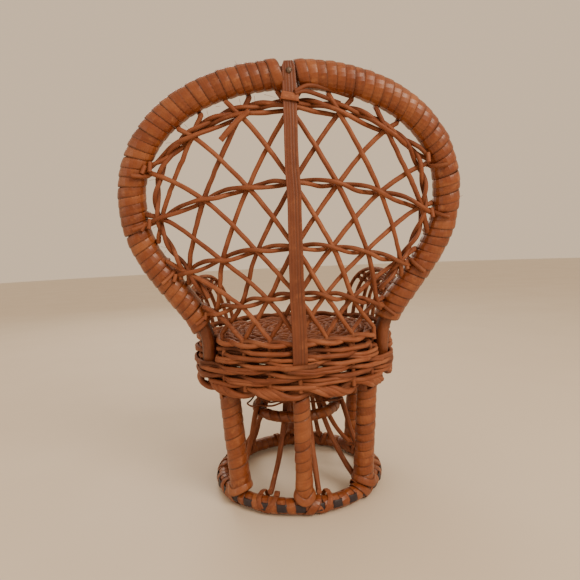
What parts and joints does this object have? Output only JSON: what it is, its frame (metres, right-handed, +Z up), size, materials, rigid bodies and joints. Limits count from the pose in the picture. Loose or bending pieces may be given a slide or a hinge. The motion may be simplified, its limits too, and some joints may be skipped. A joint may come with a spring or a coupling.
{
  "type": "miniature wicker peacock chair",
  "caption": "Doll-scale fan-back wicker armchair: wrapped hoop with an open lattice back, a round woven seat and six wrapped legs on a round foot ring.",
  "frame": {"origin": "centre of the chair's footprint box, on the surface it stands on; the foot ring's axis is 3.1 mm in front of it", "axes": "+Z up, the chair faces -Y, its hoop and lattice back stand at +Y, +X is the side to the right of someone looking at the chair's front"},
  "size_m": [0.1898, 0.1372, 0.2528],
  "materials": {
    "cane": "satin",
    "reed": "matte",
    "pole": "matte",
    "inlay": "matte",
    "nail": "brushed"
  },
  "bodies": {
    "root": {"arm_left": "reed", "arm_right": "reed", "base_ring_binding": "cane", "base_ring_core": "pole", "base_ring_inlay": "inlay", "centre_stave": "pole", "hoop_binding": "cane", "hoop_core": "pole", "hoop_inner_strand": "reed", "lattice_front_1": "reed", "lattice_front_2": "reed", "lattice_front_3": "reed", "lattice_front_4": "reed", "lattice_front_5": "reed", "lattice_front_6": "reed", "lattice_front_7": "reed", "lattice_rear_1": "reed", "lattice_rear_2": "reed", "lattice_rear_3": "reed", "lattice_rear_4": "reed", "lattice_rear_5": "reed", "lattice_rear_6": "reed", "lattice_rear_7": "reed", "leg_binding_front": "cane", "leg_binding_front_left": "cane", "leg_binding_front_right": "cane", "leg_binding_rear": "cane", "leg_binding_rear_left": "cane", "leg_binding_rear_right": "cane", "leg_core_front": "pole", "leg_core_front_left": "pole", "leg_core_front_right": "pole", "leg_core_rear": "pole", "leg_core_rear_left": "pole", "leg_core_rear_right": "pole", "seat_frame_ring": "pole", "seat_lower_border": "reed", "seat_rim_twine": "reed", "seat_stakes": "reed", "seat_weave": "reed", "seat_weaver_lower": "reed", "seat_weaver_upper": "reed", "spoke_01": "reed", "spoke_02": "reed", "spoke_03": "reed", "spoke_04": "reed", "spoke_05": "reed", "spoke_06": "reed", "spoke_07": "reed", "spoke_08": "reed", "spoke_09": "reed", "spoke_10": "reed", "stave_lashing": "reed", "stave_nail": "nail", "twined_row_1": "reed", "twined_row_2": "reed", "twined_row_3": "reed", "twined_row_4": "reed", "waist_ring_binding": "cane", "waist_ring_core": "pole"}
  },
  "joints": []
}
